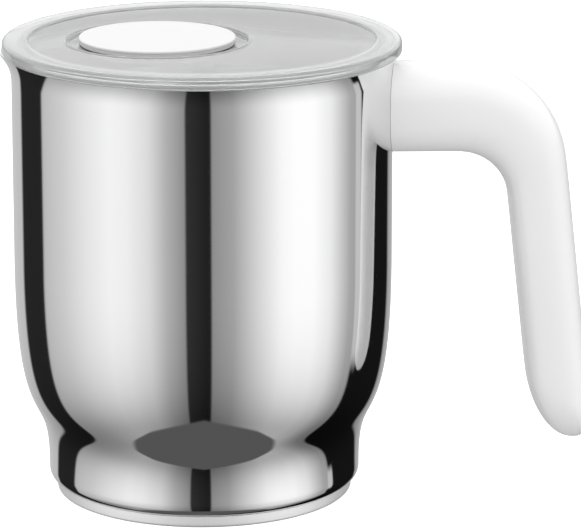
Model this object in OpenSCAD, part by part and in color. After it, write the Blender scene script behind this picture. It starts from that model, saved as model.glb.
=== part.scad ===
// Induction milk frother: a steel jug with a moulded handle, a clear lid with a lift-out cap,
// and a magnet-driven whisk that turns on a pin in the jug's floor.
// Millimetres, +Z up, +X towards the handle, -X towards the spout.
// The origin is the centre of the foot, on the surface that the jug stands on.

/* [Jug] */
// Outer diameter of the straight wall
body_d = 105; // [96:0.5:126]
// Height of the rim above the foot
rim_z = 124.3; // [103:0.1:150]
// Height at which the shoulder reaches the straight wall
shoulder_z = 67; // [55:0.5:81]
// Outer diameter of the waist above the foot
waist_d = 87; // [80:0.5:90]
// Height of the waist above the foot ring
waist_h = 3.9; // [3:0.1:6]
// Thickness of the steel sheet
wall = 0.8; // [0.6:0.05:1.2]
// Radius of the corner between the floor and the waist
corner_r = 2.9; // [2:0.1:3.5]
// How far the shoulder curve keeps the waist's direction, as a share of its height
waist_pull = 0.43; // [0.3:0.01:0.6]
// How far the shoulder curve keeps the straight wall's direction, as a share of its height
shoulder_pull = 0.9; // [0.7:0.01:1]

/* [Rim and spout] */
// Height of the flare below the rim
flare_h = 5.5; // [4.5:0.1:8]
// How far the flare leans out all round
flare_out = 0.7; // [0.5:0.1:1.4]
// How far the spout leans out
spout_out = 3.6; // [2.5:0.1:4.5]
// Height over which the spout leans out
spout_h = 7.5; // [6:0.1:9]
// Radius of the spout where it leaves the wall
spout_r = 30; // [20:0.5:36]

/* [Foot] */
// How far the magnetic steel foot lies inside the waist, on the radius
foot_step = 2.2; // [1.5:0.1:3]
// Height of the foot
foot_h = 3.2; // [2.6:0.1:4]
// Sheet thickness of the foot
foot_wall = 0.8; // [0.6:0.05:1.2]
// Radius of the foot's lower edge
foot_edge_r = 0.8; // [0.4:0.1:1]
// Radial gap between the foot and the aluminium disc inside it
foot_gap = 0.1; // [0.05:0.05:0.3]

/* [Handle] */
// Distance from the rim down to the arm's top
arm_drop = 3.4; // [2:0.1:12]
// Height of the arm's section
arm_h = 24.8; // [20.5:0.1:30]
// Width of the arm's section
arm_w = 22; // [18:0.1:27]
// Thickness of the grip, seen from the side
grip_t = 17.3; // [14:0.1:21]
// Width of the grip, seen from behind
grip_w = 20; // [16:0.1:24]
// Room for the fingers, from the wall to the grip, under the arm
finger_room = 30.6; // [25:0.1:37]
// How far the grip leans out from the vertical, in degrees
grip_lean = 6.3; // [3:0.1:9]
// Radius of the bend on the finger side
bend_inner_r = 14; // [11:0.1:16]
// Radius of the bend on the outside
bend_outer_r = 30; // [25:0.1:34]
// Height of the grip's tip above the foot
tip_z = 13.3; // [8:0.1:30]
// Length of the tip's rounding on the finger side
tip_inner = 22; // [15:0.5:26]
// Length of the tip's rounding on the outside
tip_outer = 8; // [5:0.5:12]
// Where the tip lies across the grip, from 0 at the finger side to 1 at the outside
tip_share = 0.71; // [0.5:0.01:0.8]
// Squareness of the section: 2 is an ellipse, 4 is nearly a rectangle
squareness = 2.8; // [2.2:0.1:3.6]
// Wall thickness of the moulding
handle_wall = 2.6; // [2:0.1:3.2]
// Thickness of the seal between the handle and the wall
seal_t = 0.5; // [0.4:0.1:1]
// How far the seal's edge stays back from the handle's surface
seal_inset = 0.8; // [0.5:0.1:1.2]

/* [Handle bracket and screws] */
// Thickness of the bracket's foot on the wall
bracket_t = 1.5; // [1:0.1:2.5]
// Side of the bracket's square tongue
tongue = 12; // [10:0.1:14]
// Wall thickness of the tongue
tongue_wall = 1.6; // [1.2:0.1:2.5]
// Length of the tongue, from the wall
tongue_l = 26; // [22:0.1:28]
// Distance of the first screw from the wall
screw_first = 8.5; // [7:0.1:10]
// Distance between the two screws
screw_pitch = 11; // [9:0.1:12]
// Screw thread diameter
screw_d = 4; // [3:0.5:5]
// Screw head diameter
screw_head_d = 6.8; // [5.5:0.1:8]
// Screw head height
screw_head_h = 2.2; // [1.6:0.1:3]
// Depth of the screw recess in the arm's underside
recess_deep = 4.4; // [4:0.1:6]
// Gap round the screw heads
screw_gap = 0.4; // [0.2:0.05:0.6]
// Thickness of the plugs that close the screw recesses
plug_t = 1.6; // [1.2:0.1:2]

/* [Lid] */
// How far the lid stands out past the flared rim
lid_over = 1.8; // [1:0.1:2.4]
// Thickness of the lid's rim
lid_rim_t = 3.6; // [3:0.1:5]
// Radius of the rim's upper edge
lid_edge_r = 1.7; // [1:0.1:2]
// Radius of the rim's lower edge
lid_low_edge_r = 1; // [0.5:0.1:1.4]
// Width of the raised rim
lid_rim_w = 7.1; // [6:0.1:8]
// How far the clear panel lies below the raised rim
panel_drop = 0.6; // [0.4:0.1:1]
// Thickness of the clear panel
panel_t = 2; // [1.8:0.1:3]
// Wall thickness of the skirt and the collar
skirt_wall = 2; // [1.6:0.1:2.4]
// How far the skirt reaches below the jug's rim
skirt_deep = 6.8; // [6:0.1:9]
// Gap between the skirt and the jug's inner wall
skirt_gap = 1.3; // [1:0.1:2]
// Gap between the seal's lip and the jug's inner wall
lip_gap = 0.3; // [0.2:0.05:0.5]
// Thickness of the seal's lip at its edge
lip_t = 0.5; // [0.4:0.1:0.8]
// Height of the lid's seal
lid_seal_h = 2; // [1.6:0.1:2.5]
// Gap between resting faces of pieces that lift off
rest_gap = 0.1; // [0.05:0.05:0.2]

/* [Cap] */
// Diameter of the white cap
cap_d = 43.2; // [36:0.2:52]
// How far the cap's centre lies towards the spout
cap_shift = 12.3; // [8:0.1:14]
// Width of the clear moat round the cap
moat_w = 3.4; // [2.5:0.1:4]
// Depth of the moat
moat_deep = 0.9; // [0.5:0.1:1.1]
// How far the cap stands above the clear panel
cap_proud = 1; // [0.6:0.1:1.5]
// Radius of the cap's upper edge
cap_edge_r = 0.5; // [0.3:0.1:0.8]
// How far the cap's flange overlaps the hole in the lid
cap_lip = 2.6; // [2:0.1:4]
// Length of the plug below the cap
plug_l = 4.8; // [4.2:0.1:6]
// Wall thickness of the plug
plug_wall = 3; // [2.6:0.1:3.6]
// Radial gap between the plug and the hole
plug_gap = 0.4; // [0.3:0.05:0.6]
// Thickness of the plug's seal ring
ring_t = 1.8; // [1.4:0.1:2]
// Radial gap between the seal ring and the hole
ring_gap = 0.2; // [0.1:0.05:0.3]

/* [Whisk] */
// Diameter of the pin in the jug's floor
pin_d = 4; // [3:0.1:5]
// Height of the pin above the floor
pin_h = 11.6; // [10:0.1:14]
// Diameter of the pin's welded foot
pin_foot_d = 10; // [9:0.1:14]
// Height of the pin's welded foot
pin_foot_h = 1; // [0.8:0.1:1.5]
// Running clearance of every turning fit, on the radius
run_gap = 0.05; // [0.03:0.01:0.08]
// Wall thickness of the sleeve on the pin
sleeve_wall = 1; // [0.8:0.1:1.5]
// Wall thickness of the hub's bush
bush_wall = 1.2; // [0.8:0.1:1.6]
// Diameter of the hub
hub_d = 24.6; // [22:0.1:30]
// Height of the hub
hub_h = 7.4; // [6.5:0.1:9]
// Thickness of the cover under the magnets
cover_t = 1; // [0.8:0.1:1.5]
// Number of drive magnets
magnets = 6; // [4:1:6]
// Diameter of a magnet
magnet_d = 5; // [4:0.1:5.5]
// Height of a magnet
magnet_h = 3; // [2:0.1:4]
// Diameter of the stem
stem_d = 6; // [5:0.1:8]
// Height of the stem's knob above the floor
stem_h = 56; // [45:0.5:67]
// Diameter of the stem's knob
knob_d = 12; // [9:0.1:14]

/* [Froth coil] */
// Room between the carrier's ring and the coil
coil_room = 1.9; // [1.2:0.1:4]
// Wire diameter of the hoop
hoop_wire = 1.6; // [1.2:0.1:2]
// Outer diameter of the coil's turns
turn_d = 7.4; // [6:0.1:8]
// Wire diameter of the coil
coil_wire = 0.9; // [0.7:0.1:1.1]
// Number of turns, a multiple of the number of spokes
turns = 30; // [24:6:36]
// Number of spokes
spokes = 6; // [3:3:6]
// Width of a spoke
spoke_w = 1.4; // [1.2:0.1:1.6]
// Wall thickness of the carrier's ring
carrier_wall = 1.8; // [1.5:0.1:2.5]
// Height of the carrier's ring
carrier_h = 4.4; // [3.5:0.1:5]
// Gap between the carrier and the hub
carrier_gap = 0.3; // [0.2:0.05:0.4]

/* [Hidden] */
body_r = body_d / 2;
waist_r = waist_d / 2;
foot_r = waist_r - foot_step;
waist_z = foot_h + waist_h;
floor_z = foot_h + wall;
spout_sink = 0.3;
spout_x = body_r - spout_r - spout_sink;

arm_high = rim_z - arm_drop;
arm_low = arm_high - arm_h;
arm_z = (arm_low + arm_high) / 2;
screw_x = [for (i = [0:1]) body_r + screw_first + i * screw_pitch];
head_seat = arm_low + recess_deep;
tongue_low = arm_z - tongue / 2;
thread_high = tongue_low + tongue_wall + 1.6;
slot_l = 4;
slot_w = 0.8;
slot_deep = 1.2;
plug_set = 0.4;
boss_wall = 1.5;

lid_low = rim_z + rest_gap;
lid_high = lid_low + lid_rim_t;
lid_r = body_r + flare_out + lid_over;
panel_high = lid_high - panel_drop;
panel_low = panel_high - panel_t;
skirt_r = body_r - wall - skirt_gap;
skirt_low = rim_z - skirt_deep;
groove_deep = skirt_wall / 2;
groove_low = skirt_low + 1.5;
lip_drop = 0.3;

moat_z = panel_high - moat_deep;
cap_low = moat_z + rest_gap;
cap_high = panel_high + cap_proud;
hole_r = cap_d / 2 - cap_lip;
plug_r = hole_r - plug_gap;
plug_low = cap_low - plug_l;
ring_r = hole_r - ring_gap - ring_t / 2;
ring_z = (plug_low + cap_low) / 2;
ring_slack = 0.05;
plug_floor = 1.2;

pin_top = floor_z + pin_h;
sleeve_low = floor_z + pin_foot_h;
sleeve_end = 1.3;
sleeve_top = pin_top + rest_gap + sleeve_end;
sleeve_bore = pin_d / 2 + run_gap;
sleeve_r = sleeve_bore + sleeve_wall;
flange_w = 1.4;
flange_r = sleeve_r + flange_w;
flange_t = 0.8;
bush_bore = sleeve_r + run_gap;
bush_r = bush_bore + bush_wall;
cover_low = sleeve_low + flange_t - 0.2;
hub_low = cover_low + cover_t;
hub_top = hub_low + hub_h;
hub_r = hub_d / 2;
hub_flange = 2;
hub_step = 1.4;
bush_low = sleeve_low + flange_t + rest_gap;
bell_wall = 1.8;
bell_r = bush_r + bell_wall;
bell_top = sleeve_top + 2.4;
bell_slope = 2;
magnet_orbit = (bush_r + hub_r) / 2;
stem_top = floor_z + stem_h;
knob_neck = 0.8;
stem_room = 0.6;

carrier_r = hub_r + carrier_gap;
carrier_low = hub_low + hub_flange + rest_gap;
hoop_z = carrier_low + carrier_h / 2;
hoop_r = carrier_r + carrier_wall + coil_room + turn_d / 2;
coil_r = (turn_d - coil_wire) / 2;
spoke_h = 1.4;
eye_wall = 0.8;

steel = "silver";
white = "white";
clear = [0.85, 0.88, 0.9, 0.35];
$fn = 96;

// ---- Outlines of the jug ----

// Points on a circular arc, each [r, z]
function arc(c, r, a0, a1, n) = [for (i = [0:n]) let (a = a0 + (a1 - a0) * i / n)
    [c[0] + r * cos(a), c[1] + r * sin(a)]];

// One point on a cubic curve whose ends are both vertical
function rise(t, p0, p1, pull0, pull1) = let (u = 1 - t, h = p1[1] - p0[1])
    [u * u * (u + 3 * t) * p0[0] + t * t * (t + 3 * u) * p1[0],
     u * u * (u + 3 * t) * p0[1] + t * t * (t + 3 * u) * p1[1]
     + 3 * u * t * h * (u * pull0 - t * pull1)];

// A wall that starts vertical at radius r and leans out by `out` over the height h below the rim
function flare(r, out, h) = let (ra = (h * h + out * out) / (2 * out))
    arc([r + ra, rim_z - h], ra, 180, 180 - asin(h / ra), 8);

// Outside of the jug from the floor's edge to the rim
function jug_side() = concat(
    arc([waist_r - corner_r, foot_h + corner_r], corner_r, -90, 0, 6),
    [for (i = [0:24]) rise(i / 24, [waist_r, waist_z], [body_r, shoulder_z], waist_pull, shoulder_pull)],
    flare(body_r, flare_out, flare_h));

// The same line moved inwards by t, with its last point kept at the rim's height
function inset(p, t) = [for (i = [0:len(p) - 1])
    let (a = p[max(i - 1, 0)], b = p[min(i + 1, len(p) - 1)], d = (b - a) / norm(b - a))
    i == 0 ? [p[0][0], p[0][1] + t]
    : i == len(p) - 1 ? [p[i][0] - t / d[1], p[i][1]]
    : [p[i][0] - t * d[1], p[i][1] + t * d[0]]];

module jug_solid(t) {
    side = t == 0 ? jug_side() : inset(jug_side(), t);
    rotate_extrude($fn = 180) polygon(concat([[0, side[0][1]]], side, [[0, rim_z]]));
}

module spout_solid(t) {
    side = flare(spout_r, spout_out, spout_h);
    moved = t == 0 ? side : inset(side, t);
    rotate_extrude($fn = 180) polygon(concat([[0, side[0][1]]], [for (p = moved) if (p[1] > side[0][1]) p],
                                    [[0, rim_z]]));
}

// A ring that hugs the upper part of the wall, `gap` thick
module wall_zone(gap) {
    side = flare(body_r + gap, flare_out, flare_h);
    rotate_extrude($fn = 180) polygon(concat([[0, shoulder_z], [body_r + gap, shoulder_z]], side,
                                    [[0, side[len(side) - 1][1]]]));
}

// ---- Outline of the handle, as pairs of points on its two edges, each [x, z] ----

function corner_set(r) = r * tan((90 - grip_lean) / 2);
down = [sin(grip_lean), -cos(grip_lean)];
outward = [cos(grip_lean), sin(grip_lean)];
inner_corner = [body_r + finger_room, arm_low];
outer_corner = [inner_corner[0] - arm_h * tan(grip_lean) + grip_t / cos(grip_lean), arm_high];
inner_bend = inner_corner - [corner_set(bend_inner_r), bend_inner_r];
outer_bend = outer_corner - [corner_set(bend_outer_r), bend_outer_r];
// Distance down the grip's finger side from the corner to the level of the tip
tip_l = (arm_low - tip_z + tip_share * grip_t * sin(grip_lean)) / cos(grip_lean);
arm_start = body_r - 4;

function bend_pair(a) = [inner_bend + bend_inner_r * [sin(a), cos(a)],
                         outer_bend + bend_outer_r * [sin(a), cos(a)]];
function grip_pair(s_in, s_out) = [inner_corner + down * s_in,
                                   inner_corner + outward * grip_t + down * s_out];
function tip_pair(v) = [
    inner_corner + down * (tip_l - tip_inner * (1 - sin(v))) + outward * grip_t * tip_share * (1 - cos(v)),
    inner_corner + down * (tip_l - tip_outer * (1 - sin(v)))
    + outward * grip_t * (1 - (1 - tip_share) * (1 - cos(v)))];

bend_end = bend_pair(90 - grip_lean);
bend_in_s = (bend_end[0] - inner_corner) * down;
bend_out_s = (bend_end[1] - inner_corner) * down;

// Each station is [finger-side point, outer point, width]
function arm_station(x) = [[x, arm_low], [x, arm_high], arm_w];
arm_stations = [arm_station(arm_start), arm_station((arm_start + inner_bend[0]) / 2)];
bend_stations = [for (i = [0:12]) let (p = bend_pair((90 - grip_lean) * i / 12))
    [p[0], p[1], arm_w + (grip_w - arm_w) * i / 12]];
function straight(k) = let (
    p = grip_pair(bend_in_s + (tip_l - tip_inner - bend_in_s) * k,
                  bend_out_s + (tip_l - tip_outer - bend_out_s) * k)) [p[0], p[1], grip_w];
straight_stations = [for (i = [1:3]) straight(i / 4)];
tip_stations = [for (v = [0:12:84]) let (p = tip_pair(v)) [p[0], p[1], grip_w * cos(v)]];

function power(x) = sign(x) * pow(abs(x), 2 / squareness);

// One ring of the handle's surface, moved inwards by t
function ring(st, t, n) = let (
    mid = (st[0] + st[1]) / 2, half = (st[1] - st[0]) / 2, k = 1 - t / norm(half), w = st[2] / 2 - t)
    [for (i = [0:n - 1]) let (a = 360 * i / n, c = power(cos(a)) * k)
        [mid[0] + half[0] * c, w * power(sin(a)), mid[1] + half[1] * c]];

// A closed skin over a row of rings with n points each
module skin(rings, n) {
    m = len(rings);
    points = [for (r = rings) each r];
    faces = concat(
        [for (i = [1:n - 2]) [0, i + 1, i]],
        [for (j = [0:m - 2], i = [0:n - 1]) let (k = (i + 1) % n)
            each [[j * n + i, j * n + k, (j + 1) * n + k], [j * n + i, (j + 1) * n + k, (j + 1) * n + i]]],
        [for (i = [1:n - 2]) [(m - 1) * n, (m - 1) * n + i, (m - 1) * n + i + 1]]);
    polyhedron(points, faces);
}

// Outline of the arm's end, moved inwards by t, as a bar along X
module arm_bar(t) {
    outline = [for (i = [0:35]) let (a = i * 10)
        [(arm_w / 2 - t) * power(cos(a)), (arm_h / 2 - t) * power(sin(a))]];
    translate([arm_start, 0, arm_z]) rotate([90, 0, 90]) linear_extrude(8) polygon(outline);
}

// ---- Jug ----

module jug_shell() color(steel) difference() {
    union() {
        jug_solid(0);
        translate([-spout_x, 0, 0]) spout_solid(0);
    }
    jug_solid(wall);
    translate([-spout_x, 0, 0]) spout_solid(wall);
}

module heat_spreader() color("lightgray")
    translate([0, 0, foot_wall]) cylinder(r = foot_r - foot_wall - foot_gap, h = foot_h - foot_wall);

module base_cap() color("darkgray") difference() {
    rotate_extrude($fn = 180) polygon(concat([[0, 0]],
        arc([foot_r - foot_edge_r, foot_edge_r], foot_edge_r, -90, 0, 4), [[foot_r, foot_h], [0, foot_h]]));
    translate([0, 0, foot_wall]) cylinder(r = foot_r - foot_wall, h = foot_h);
}

module whisk_spindle() color(steel) rotate_extrude() polygon(concat(
    [[0, floor_z], [pin_foot_d / 2, floor_z], [pin_foot_d / 2, floor_z + pin_foot_h],
     [pin_d / 2, floor_z + pin_foot_h]],
    arc([0, pin_top - pin_d / 2], pin_d / 2, 0, 90, 6)));

// ---- Handle ----

module handle_bracket() color("gray") difference() {
    union() {
        intersection() {
            wall_zone(bracket_t);
            translate([arm_start, -tongue / 2, tongue_low]) cube([10, tongue, tongue]);
        }
        translate([body_r, -tongue / 2, tongue_low]) cube([tongue_l, tongue, tongue]);
    }
    wall_zone(0);
    translate([body_r + bracket_t, tongue_wall - tongue / 2, tongue_low + tongue_wall])
        cube([tongue_l, tongue - 2 * tongue_wall, tongue - 2 * tongue_wall]);
    for (x = screw_x)
        translate([x, 0, tongue_low - 1]) cylinder(d = screw_d, h = tongue_wall + 2);
}

module handle_shell() {
    stations = concat(arm_stations, bend_stations, straight_stations, tip_stations);
    hollow = concat([arm_station(arm_start - 2)], bend_stations, straight_stations);
    color(white) difference() {
        union() {
            difference() {
                skin([for (s = stations) ring(s, 0, 32)], 32);
                skin([for (s = hollow) ring(s, handle_wall, 16)], 16);
            }
            for (x = screw_x)
                translate([x, 0, arm_low + handle_wall / 2])
                    cylinder(d = screw_head_d + 2 * boss_wall, h = tongue_low - arm_low - handle_wall / 2);
        }
        wall_zone(seal_t);
        for (x = screw_x) {
            translate([x, 0, arm_low - 1]) cylinder(d = screw_head_d + 2 * screw_gap, h = recess_deep + 1);
            translate([x, 0, arm_low]) cylinder(d = screw_d + screw_gap, h = tongue_low - arm_low + 1);
        }
    }
}

module handle_screws() color(steel) for (x = screw_x) translate([x, 0, 0]) difference() {
    union() {
        translate([0, 0, head_seat - screw_head_h]) cylinder(d = screw_head_d, h = screw_head_h);
        translate([0, 0, head_seat]) cylinder(d = screw_d, h = thread_high - head_seat);
    }
    for (a = [0, 90]) rotate(a) translate([-slot_l / 2, -slot_w / 2, head_seat - screw_head_h - 1])
        cube([slot_l, slot_w, slot_deep + 1]);
}

module screw_plugs() color(white) for (x = screw_x)
    translate([x, 0, arm_low + plug_set]) cylinder(d = screw_head_d + 2 * screw_gap, h = plug_t);

module handle_seal() color("dimgray") difference() {
    intersection() {
        wall_zone(seal_t);
        arm_bar(seal_inset);
    }
    wall_zone(0);
    arm_bar(handle_wall);
}

// ---- Lid ----

module lid_panel() color(clear) difference() {
    union() {
        rotate_extrude($fn = 180) polygon(concat(
            [[0, panel_low], [skirt_r - skirt_wall, panel_low], [skirt_r - skirt_wall, skirt_low],
             [skirt_r, skirt_low], [skirt_r, groove_low], [skirt_r - groove_deep, groove_low],
             [skirt_r - groove_deep, groove_low + lid_seal_h], [skirt_r, groove_low + lid_seal_h],
             [skirt_r, lid_low]],
            arc([lid_r - lid_low_edge_r, lid_low + lid_low_edge_r], lid_low_edge_r, -90, 0, 4),
            arc([lid_r - lid_edge_r, lid_high - lid_edge_r], lid_edge_r, 0, 90, 6),
            [[lid_r - lid_rim_w, lid_high], [lid_r - lid_rim_w, panel_high], [0, panel_high]]));
        translate([-cap_shift, 0, plug_low])
            cylinder(r = hole_r + skirt_wall, h = panel_low - plug_low + 0.5);
    }
    translate([-cap_shift, 0, moat_z]) cylinder(r = cap_d / 2 + moat_w, h = moat_deep + 1);
    translate([-cap_shift, 0, plug_low - 1]) cylinder(r = hole_r, h = moat_z - plug_low + 2);
}

module lid_seal() color("gainsboro") {
    lip_r = body_r - wall - lip_gap;
    low = groove_low;
    high = groove_low + lid_seal_h;
    rotate_extrude($fn = 180) polygon([[skirt_r - groove_deep, low], [skirt_r, low],
        [lip_r, high - lip_drop - lip_t], [lip_r, high - lip_drop],
        [skirt_r, high], [skirt_r - groove_deep, high]]);
}

// ---- Cap ----

module cap_disc() color(white) translate([-cap_shift, 0, 0]) rotate_extrude($fn = 180)
    polygon(concat([[0, cap_low], [cap_d / 2, cap_low]],
        arc([cap_d / 2 - cap_edge_r, cap_high - cap_edge_r], cap_edge_r, 0, 90, 4), [[0, cap_high]]));

module cap_plug() color("whitesmoke") translate([-cap_shift, 0, 0]) difference() {
    translate([0, 0, plug_low]) cylinder(r = plug_r, h = plug_l);
    translate([0, 0, plug_low + plug_floor]) cylinder(r = plug_r - plug_wall, h = plug_l);
    translate([0, 0, ring_z - ring_t / 2 - ring_slack]) difference() {
        cylinder(r = plug_r + 1, h = ring_t + 2 * ring_slack);
        cylinder(r = ring_r - ring_t / 2 - ring_slack, h = ring_t + 2 * ring_slack);
    }
}

module cap_seal() color("gainsboro") translate([-cap_shift, 0, ring_z])
    rotate_extrude($fn = 180) translate([ring_r, 0]) circle(d = ring_t, $fn = 32);

// ---- Whisk ----

module pivot_sleeve() color(steel) difference() {
    union() {
        translate([0, 0, sleeve_low]) cylinder(r = flange_r, h = flange_t);
        translate([0, 0, sleeve_low]) cylinder(r = sleeve_r, h = sleeve_top - sleeve_low);
    }
    translate([0, 0, sleeve_low - 1]) cylinder(r = sleeve_bore, h = pin_top + rest_gap - sleeve_low + 1);
}

module hub_bush() color("goldenrod") difference() {
    translate([0, 0, bush_low]) cylinder(r = bush_r, h = hub_top - bush_low);
    translate([0, 0, bush_low - 1]) cylinder(r = bush_bore, h = hub_top - bush_low + 2);
}

module magnet_row() for (i = [0:magnets - 1]) rotate(i * 360 / magnets)
    translate([magnet_orbit, 0, hub_low]) cylinder(d = magnet_d, h = magnet_h);

module whisk_hub() color("dimgray") difference() {
    union() {
        translate([0, 0, hub_low]) cylinder(r = hub_r, h = hub_h);
        translate([0, 0, hub_low]) cylinder(r = hub_r + hub_step, h = hub_flange);
    }
    translate([0, 0, hub_low - 1]) cylinder(r = bush_r, h = hub_h + 2);
    magnet_row();
}

module drive_magnets() color("slategray") magnet_row();

module magnet_cover() color("dimgray") difference() {
    translate([0, 0, cover_low]) cylinder(r = hub_r + hub_step, h = cover_t);
    translate([0, 0, cover_low - 1]) cylinder(r = flange_r + 0.5, h = cover_t + 2);
}

module whisk_stem() color("dimgray") difference() {
    rotate_extrude() polygon(concat(
        [[0, hub_top], [bell_r, hub_top], [bell_r, bell_top - bell_slope], [stem_d / 2 + 1, bell_top],
         [stem_d / 2, bell_top + bell_slope], [stem_d / 2, stem_top - knob_d * knob_neck]],
        arc([0, stem_top - knob_d / 2], knob_d / 2, -30, 90, 10)));
    translate([0, 0, hub_top - 1]) cylinder(r = bush_bore, h = sleeve_top - hub_top + 1 + stem_room);
}

// ---- Froth coil ----

module coil_carrier() color("dimgray") difference() {
    union() {
        translate([0, 0, carrier_low]) cylinder(r = carrier_r + carrier_wall, h = carrier_h);
        for (i = [0:spokes - 1]) rotate((i + 0.5) * 360 / spokes) {
            translate([carrier_r + carrier_wall / 2, -spoke_w / 2, hoop_z - spoke_h / 2])
                cube([hoop_r - carrier_r - carrier_wall / 2, spoke_w, spoke_h]);
            translate([hoop_r, spoke_w / 2, hoop_z]) rotate([90, 0, 0])
                cylinder(d = hoop_wire + 2 * eye_wall, h = spoke_w);
        }
    }
    translate([0, 0, carrier_low - 1]) cylinder(r = carrier_r, h = carrier_h + 2);
    hoop();
}

module hoop() translate([0, 0, hoop_z]) rotate_extrude() translate([hoop_r, 0])
    circle(d = hoop_wire, $fn = 32);

module coil_hoop() color(steel) hoop();

// The coil's wire runs round the hoop in whole turns; its inner crossings miss the spokes
function coil_ring(a) = let (
    turn = a * turns + 180,
    across = [cos(a) * cos(turn), sin(a) * cos(turn), sin(turn)],
    mid = [cos(a), sin(a), 0] * hoop_r + across * coil_r,
    step = coil_r * turns * [-cos(a) * sin(turn), -sin(a) * sin(turn), cos(turn)]
           + (hoop_r + coil_r * cos(turn)) * [-sin(a), cos(a), 0],
    side = cross(step / norm(step), across))
    [for (i = [0:4]) let (b = i * 72) mid + (across * cos(b) + side * sin(b)) * coil_wire / 2];

module froth_coil() {
    steps = turns * 10;
    points = [for (i = [0:steps - 1]) each [for (p = coil_ring(i * 360 / steps)) p + [0, 0, hoop_z]]];
    faces = [for (j = [0:steps - 1], i = [0:4]) let (k = (i + 1) % 5, q = (j + 1) % steps)
        each [[j * 5 + i, q * 5 + k, j * 5 + k], [j * 5 + i, q * 5 + i, q * 5 + k]]];
    color(steel) polyhedron(points, faces);
}

jug_shell();
heat_spreader();
base_cap();
whisk_spindle();
handle_bracket();
handle_shell();
handle_screws();
screw_plugs();
handle_seal();
lid_panel();
lid_seal();
cap_disc();
cap_plug();
cap_seal();
pivot_sleeve();
hub_bush();
whisk_hub();
drive_magnets();
magnet_cover();
whisk_stem();
coil_carrier();
coil_hoop();
froth_coil();
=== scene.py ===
# Milk frother: the looks of the jug, its lid and its whisk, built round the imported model
import math
import bpy
from mathutils import Matrix, Vector


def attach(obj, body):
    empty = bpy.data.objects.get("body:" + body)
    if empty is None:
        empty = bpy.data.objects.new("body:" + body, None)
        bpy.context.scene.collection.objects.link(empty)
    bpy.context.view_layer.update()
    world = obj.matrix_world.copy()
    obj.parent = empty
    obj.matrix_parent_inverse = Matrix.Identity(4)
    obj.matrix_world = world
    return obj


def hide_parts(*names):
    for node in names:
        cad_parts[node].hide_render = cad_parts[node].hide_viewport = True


mm = 0.001
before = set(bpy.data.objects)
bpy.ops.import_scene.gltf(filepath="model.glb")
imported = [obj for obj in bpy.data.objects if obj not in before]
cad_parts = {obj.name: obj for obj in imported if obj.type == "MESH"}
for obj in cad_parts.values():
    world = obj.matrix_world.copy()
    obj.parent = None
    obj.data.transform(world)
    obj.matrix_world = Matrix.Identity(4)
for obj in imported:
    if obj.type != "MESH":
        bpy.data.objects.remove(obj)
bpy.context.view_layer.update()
print("frame loaded:", len(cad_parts), "CAD nodes")

# the camera stands in front of the jug and a little above the lid
camera = {
    "place": (0, -1098.8 * mm, 348.6 * mm),
    "pitch": 14.54,          # degrees down
    "turn": 1.266,           # degrees towards the handle
    "lens": 252.5,
    "sensor": 36,
}
bpy.ops.object.select_all(action="DESELECT")
bpy.ops.object.camera_add(location=camera["place"])
cameraObject = bpy.context.object
cameraObject.name = "studioCamera"
cameraObject.rotation_euler = (math.radians(90 - camera["pitch"]), 0, -math.radians(camera["turn"]))
cameraObject.data.lens = camera["lens"]
cameraObject.data.sensor_width = camera["sensor"]
cameraObject.data.clip_start = 0.05
bpy.context.scene.camera = cameraObject
bpy.context.scene.view_settings.view_transform = "Standard"


def linear(hexColour):
    channels = [int(hexColour[i:i + 2], 16) / 255 for i in (1, 3, 5)]
    return [c / 12.92 if c <= 0.04045 else ((c + 0.055) / 1.055) ** 2.4 for c in channels] + [1.0]


def clearSelection():
    if bpy.context.object and bpy.context.object.mode != "OBJECT":
        bpy.ops.object.mode_set(mode="OBJECT")
    bpy.ops.object.select_all(action="DESELECT")


def makeActive(piece):
    clearSelection()
    piece.select_set(True)
    bpy.context.view_layer.objects.active = piece


def turned(centre, radius, fromAngle, toAngle, steps):
    # points on an arc, angles in degrees
    points = []
    for i in range(steps + 1):
        angle = math.radians(fromAngle + (toAngle - fromAngle) * i / steps)
        points.append((centre[0] + radius * math.cos(angle), centre[1] + radius * math.sin(angle)))
    return points


def roundOff(corners, steps=5):
    # a closed outline of (r, z) or (r, z, fillet) corners, with its fillets drawn in
    outline = []
    for i, corner in enumerate(corners):
        here = Vector(corner[:2])
        if len(corner) < 3:
            outline.append(tuple(here))
            continue
        before = Vector(corners[i - 1][:2]) - here
        after = Vector(corners[(i + 1) % len(corners)][:2]) - here
        half = before.angle(after) / 2
        setBack = min(corner[2] / math.tan(half), 0.48 * before.length, 0.48 * after.length)
        centre = here + (before.normalized() + after.normalized()).normalized() * (setBack / math.cos(half))
        first = here + before.normalized() * setBack - centre
        last = here + after.normalized() * setBack - centre
        for k in range(steps + 1):
            outline.append(tuple(centre + first.lerp(last, k / steps).normalized() * first.length))
    return outline


def drawOutline(name, outline):
    # one vertex extruded from point to point in the XZ plane, left in edit mode
    clearSelection()
    bpy.ops.mesh.primitive_plane_add(size=mm, location=(outline[0][0] * mm, 0, outline[0][1] * mm))
    piece = bpy.context.object
    piece.name = name
    piece.data.name = name
    bpy.ops.object.transform_apply(location=True)
    bpy.ops.object.mode_set(mode="EDIT")
    bpy.ops.mesh.select_all(action="SELECT")
    bpy.ops.mesh.merge(type="CENTER")
    for here, there in zip(outline, outline[1:]):
        step = ((there[0] - here[0]) * mm, 0, (there[1] - here[1]) * mm)
        bpy.ops.mesh.extrude_region_move(TRANSFORM_OT_translate={"value": step})
    return piece


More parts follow.
